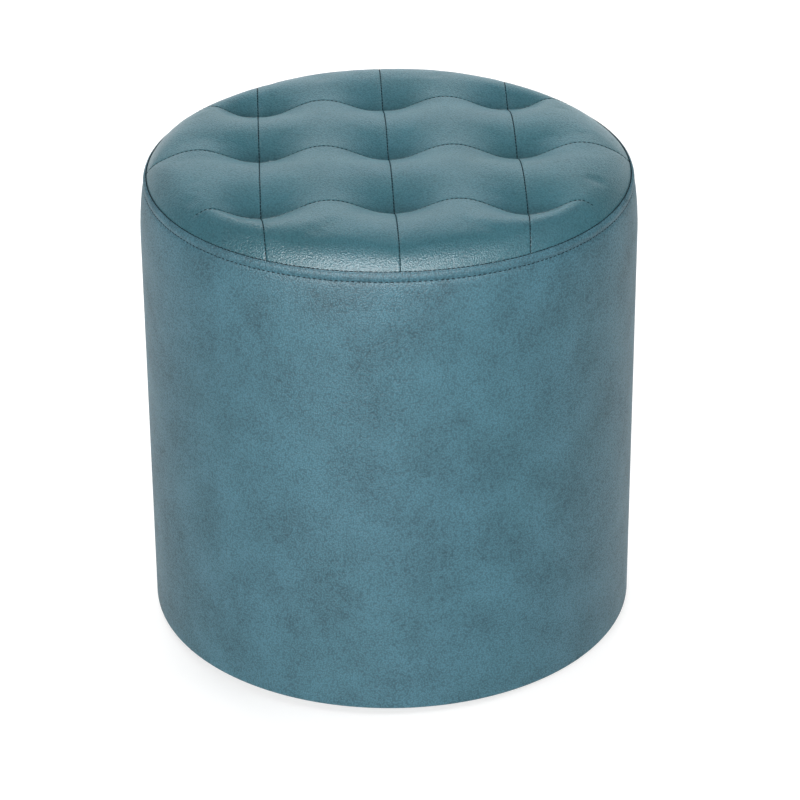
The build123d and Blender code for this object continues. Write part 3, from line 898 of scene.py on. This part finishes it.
class POUF_OT_padding(bpy.types.Operator):
    """Models the wadding, the seat foam and the side padding under the covers"""

    bl_idname = "pouf.padding"
    bl_label = "Padding"

    def execute(self, context):
        sizes, colours = context.scene.pouf_sizes, context.scene.pouf_colours
        self.wadding(sizes, colours)
        self.seat_foam(colours)
        self.side_padding(colours)
        return {"FINISHED"}

    def wadding(self, sizes, colours):
        """Fills the panels from the foam to just under the leather, lower under the seams."""
        gap, rim_gap = 0.3 * MM, 0.2 * MM
        inset = sizes.leather + gap
        share = 1 - (inset + rim_gap) / sizes.rim_radius
        floor, thinnest = FOAM_HIGH[2], 0.5 * MM
        seam_room, seam_width = 1.2 * MM, 4 * MM
        places = {}
        for key, (x, y, z) in SEAM_LINES["seat"].items():
            lower = seam_room * max(0.0, 1 - seam_distance(sizes, x, y) / seam_width)
            places[key] = x * share, y * share, max(z - inset - lower, floor + thinnest)
        piece = sewn_piece("seat_wadding_fill", places, seat_plan(sizes).values())
        edit_all(piece)
        bpy.ops.mesh.region_to_loop()
        bpy.ops.mesh.extrude_edges_move()
        bpy.ops.transform.resize(value=(1, 1, 0), center_override=(0, 0, floor))
        bpy.ops.mesh.edge_face_add()
        face_outwards()
        finish = foam_or_fibre("polyester_wadding_carded", colours.wadding, 1.5, 0.95)
        dress(piece, finish, "polyester_wadding", "seat_wadding")

    def seat_foam(self, colours):
        """A cut slab with eased edges and a slight waist."""
        radius, low, high = FOAM_HIGH[0], FOAM_LOW[2], FOAM_HIGH[2]
        hub, ease, waist, rings = 1 * MM, 3 * MM, 0.8 * MM, 6
        profile = [(hub, low)] + [(radius * ring / rings, low) for ring in range(1, rings)]
        profile += arc((radius - ease, low + ease), ease, -90, 0, 4)
        profile += [(radius - waist, (low + high) / 2)]
        profile += arc((radius - ease, high - ease), ease, 0, 90, 4)
        profile += [(radius * ring / rings, high) for ring in range(rings - 1, 0, -1)] + [(hub, high)]
        piece = lathe("seat_foam_slab", profile, 128)
        edit_all(piece)
        bpy.ops.mesh.fill_holes(sides=0)
        face_outwards()
        finish = foam_or_fibre("polyurethane_foam_cut", colours.foam, 1.0, 0.9)
        dress(piece, finish, "seat_foam", "seat_foam")

    def side_padding(self, colours):
        """A foam sheet round the drum, its ends meeting at the back and its top leaning in."""
        outer, low, high = PADDING_HIGH[0], PADDING_LOW[2], PADDING_HIGH[2]
        thickness, ease, rows = 7 * MM, 4.4 * MM, 8
        inner = outer - thickness
        lean = ((1.7, 20), (3.6, 2), (5, 0))
        ring = [(inner, low)] + arc((outer - ease, low + ease), ease, -90, 0, 5)
        ring += [(outer, low + (high - SHOULDER - low) * row / rows) for row in range(1, rows + 1)]
        ring += [(outer - inwards * MM, high - down * MM) for inwards, down in lean] + [(inner, high)]
        ring += [(inner, low + (high - low) * row / rows) for row in range(rows - 1, 0, -1)]
        joint = 1 * MM / outer
        start = Matrix.Rotation(pi / 2 + joint / 2, 4, "Z")
        points = [start @ Vector((radius, 0, height)) for radius, height in ring]
        piece = mesh_piece("side_padding_foam", points, [range(len(ring))])
        edit_all(piece)
        bpy.ops.mesh.spin(steps=144, angle=2 * pi - joint, center=(0, 0, 0), axis=(0, 0, 1))
        face_outwards()
        finish = foam_or_fibre("polyurethane_sheet_foam", colours.padding, 0.9, 0.9)
        dress(piece, finish, "padding_foam", "side_padding")


class POUF_OT_dust_cover(bpy.types.Operator):
    """Lays the dust cover under the base, slack between its staples"""

    bl_idname = "pouf.dust_cover"
    bl_label = "Dust cover"

    def execute(self, context):
        colours = context.scene.pouf_colours
        radius, top, thickness = DUST_HIGH[0], DUST_HIGH[2], DUST_HIGH[2] - DUST_LOW[2]
        sag, draw, staples, steps = 0.1 * MM, 0.004, 24, 24
        rings = [3 * MM] + [radius * step / steps for step in range(1, steps)]
        rings += [radius - 1.5 * MM, radius - 0.8 * MM]
        cloth = lathe("dust_cover_cloth", [(ring, top) for ring in reversed(rings)], 192)
        bpy.ops.object.mode_set(mode="EDIT")
        bpy.ops.mesh.select_all(action="DESELECT")
        skin = bmesh.from_edit_mesh(cloth.data)
        for edge in skin.edges:
            edge.select_set(edge.is_boundary and edge.verts[0].co.length < radius / 2)
        bmesh.update_edit_mesh(cloth.data)
        bpy.ops.mesh.edge_face_add()
        bpy.ops.object.mode_set(mode="OBJECT")
        for vertex in cloth.data.vertices:
            x, y, _ = vertex.co
            ring, turn = hypot(x, y), atan2(y, x)
            # from 0 at nine tenths of the radius to 1 at the edge, which draws in between staples
            edge = max(0.0, ring / radius - 0.9) * 10
            out = 1 - draw * edge * (1 - cos(staples * turn - pi)) / 2
            vertex.co.x, vertex.co.y = x * out, y * out
            vertex.co.z = top - sag * (1 + sin(5 * turn + 40 * ring) * cos(60 * ring)) * (1 - edge)
        # its faces look up, so that it thickens downwards
        if any(face.normal.z < 0 for face in cloth.data.polygons):
            cloth.data.flip_normals()
        thicken(cloth, thickness - sag)
        finish = spunbond_cloth("spunbond_cloth_black", colours.cloth)
        dress(cloth, finish, "dust_cloth", "dust_cover")
        return {"FINISHED"}


# Frame and stage


class POUF_OT_frame_finishes(bpy.types.Operator):
    """Gives the CAD pieces that stay their wood, metal, twine and plastic"""

    bl_idname = "pouf.frame_finishes"
    bl_label = "Frame finishes"

    def execute(self, context):
        colours = context.scene.pouf_colours
        plywood = sawn_wood("birch_plywood_sanded", colours.plywood, (0.12, 1, 1), 5)
        pine = sawn_wood("pine_sawn", colours.pine, (1, 1, 0.06), 6)
        hardboard = pressed_fibreboard("hardboard_pressed", colours.hardboard)
        zinc = zinc_plated("zinc_plated_steel", colours.zinc)
        twine = spun_thread("cotton_twine_twisted", colours.twine, 1.0, 0.85)
        plastic = moulded_plastic("polyethylene_moulded", colours.plastic)
        finishes = {
            "base_board": plywood,
            "seat_board": plywood,
            "side_panel": hardboard,
            "tuft_twines": twine,
            "upright": pine,
            "glide_screws": zinc,
            "glide": plastic,
        }
        soft = {"side_cover", "seat_wadding", "seat_foam", "side_padding", "dust_cover"}
        replaced = {*PANEL_NODES, *soft, "rim_topstitch"}
        for name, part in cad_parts.items():
            if name in replaced:
                continue
            finish = finishes.get(name) or finishes.get(name.rsplit("_", 1)[0], zinc)
            part.data.materials.clear()
            part.data.materials.append(finish)
        return {"FINISHED"}


class POUF_OT_stage(bpy.types.Operator):
    """Sets the pale floor, the soft studio light and the camera"""

    bl_idname = "pouf.stage"
    bl_label = "Stage"

    def execute(self, context):
        self.floor(context)
        self.world(context)
        # name, place, aim, width, height, watts, whether it fills and whether it shines
        lamps = (
            ("softbox_front", (-1.0, -2.8, 1.1), (0, -0.1, 0.25), 1.4, 1.0, 83, True, True),
            ("softbox_top", (-0.2, -0.5, 3.2), (0, 0, 0.35), 2.0, 1.6, 12, True, False),
            ("softbox_back", (-0.3, 3.0, 1.7), (0, 0, 0.35), 3.4, 1.0, 158, True, False),
            ("softbox_right", (2.2, -0.6, 2.2), (0, 0, 0.3), 1.5, 1.2, 44, True, False),
            ("strip_glint", (-0.3, -2.2, 2.25), (0, -0.1, 0.3), 4.4, 0.3, 200, False, True),
        )
        for name, place, aim, width, height, power, fills, shines in lamps:
            bpy.ops.object.light_add(type="AREA", location=place)
            lamp = context.object
            lamp.name = name
            lamp.rotation_euler = (Vector(aim) - Vector(place)).to_track_quat("-Z", "Y").to_euler()
            lamp.data.shape = "RECTANGLE"
            lamp.data.size, lamp.data.size_y = width, height
            lamp.data.energy = power
            lamp.visible_diffuse, lamp.visible_glossy = fills, shines
        # place, turn and lens are fitted to the photograph's outline
        bpy.ops.object.camera_add(location=(-0.09656, -2.29801, 1.4058))
        camera = context.object
        camera.name = "photo_camera"
        camera.rotation_euler = [radians(turn) for turn in (61.7515, 0.3462, -2.7773)]
        camera.data.sensor_width = 36
        camera.data.lens = 149.1
        context.scene.camera = camera
        context.scene.view_settings.view_transform = "Standard"
        return {"FINISHED"}

    def floor(self, context):
        """Opal acrylic lit from below: white to the horizon, with faint clouds."""
        shade = context.scene.pouf_colours.floor
        bpy.ops.object.select_all(action="DESELECT")
        bpy.ops.mesh.primitive_plane_add(size=12, location=(0, 0, 0))
        floor = context.object
        floor.name = "studio_floor"
        glow = {"Emission_Color": (1, 1, 1, 1), "Emission_Strength": 0.65}
        paint, tree, place = new_material("acrylic_opal_backlit", Roughness=0.9, **glow)
        cloud = node(tree, NOISE, {"Vector": place, "Scale": 1.5, "Detail": 3.0})
        shades = {SHARE: cloud, FIRST: shaded(shade, 0.98), SECOND: shade}
        set_shader(tree, Base_Color=node(tree, MIX, shades, out=MIXED, data_type="RGBA"))
        floor.data.materials.append(paint)
        floor.visible_diffuse = False

    def world(self, context):
        """A lit backdrop, a low pale panel in front, and dark sides and ceiling."""
        world = bpy.data.worlds.new("studio_walls")
        context.scene.world = world
        world.use_nodes = True
        tree = world.node_tree
        place = node(tree, "ShaderNodeTexCoord", out="Generated")
        way = node(tree, "ShaderNodeSeparateXYZ", {0: place}).node
        # glow, where it fades in along Y and where it fades out along Z
        walls = (1.04, (0.5, 0.85), (0.6, 0.8)), (0.4, (-0.3, -0.75), (0.25, 0.45))
        total = 0.0
        for glow, across, up in walls:
            fades = []
            for axis, (near, far), first, last in (("Y", across, 0.0, glow), ("Z", up, 1.0, 0.0)):
                span = {"From Min": near, "From Max": far, "To Min": first, "To Max": last}
                value = {"Value": way.outputs[axis], **span}
                fades.append(node(tree, RANGE, value, interpolation_type="SMOOTHSTEP"))
            total = node(tree, MATH, dict(enumerate([*fades, total])), operation="MULTIPLY_ADD")
        sky = tree.nodes["Background"]
        sky.inputs["Color"].default_value = (1, 1, 1, 1)
        tree.links.new(total, sky.inputs["Strength"])


class POUF_PT_panel(bpy.types.Panel):
    """Sizes, colours and steps of the pouf"""

    bl_label = "Pouf"
    bl_idname = "POUF_PT_panel"
    bl_space_type = "VIEW_3D"
    bl_region_type = "UI"
    bl_category = "Pouf"

    def draw(self, context):
        for group in (context.scene.pouf_sizes, context.scene.pouf_colours):
            box = self.layout.box()
            for name in group.__annotations__:
                box.prop(group, name)
        for step in STEPS:
            self.layout.operator(step.bl_idname)


STEPS = (
    POUF_OT_seat_panels,
    POUF_OT_seat_stitches,
    POUF_OT_side_cover,
    POUF_OT_rim_topstitch,
    POUF_OT_padding,
    POUF_OT_dust_cover,
    POUF_OT_frame_finishes,
    POUF_OT_stage,
)
CLASSES = (PoufSizes, PoufColours, *STEPS, POUF_PT_panel)


def register():
    for item in CLASSES:
        bpy.utils.register_class(item)
    bpy.types.Scene.pouf_sizes = PointerProperty(type=PoufSizes)
    bpy.types.Scene.pouf_colours = PointerProperty(type=PoufColours)


def unregister():
    del bpy.types.Scene.pouf_colours
    del bpy.types.Scene.pouf_sizes
    for item in reversed(CLASSES):
        bpy.utils.unregister_class(item)


def main():
    register()
    bpy.ops.pouf.seat_panels()
    bpy.ops.pouf.seat_stitches()
    bpy.ops.pouf.side_cover()
    bpy.ops.pouf.rim_topstitch()
    bpy.ops.pouf.padding()
    bpy.ops.pouf.dust_cover()
    bpy.ops.pouf.frame_finishes()
    bpy.ops.pouf.stage()
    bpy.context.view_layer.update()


if __name__ == "__main__":
    main()
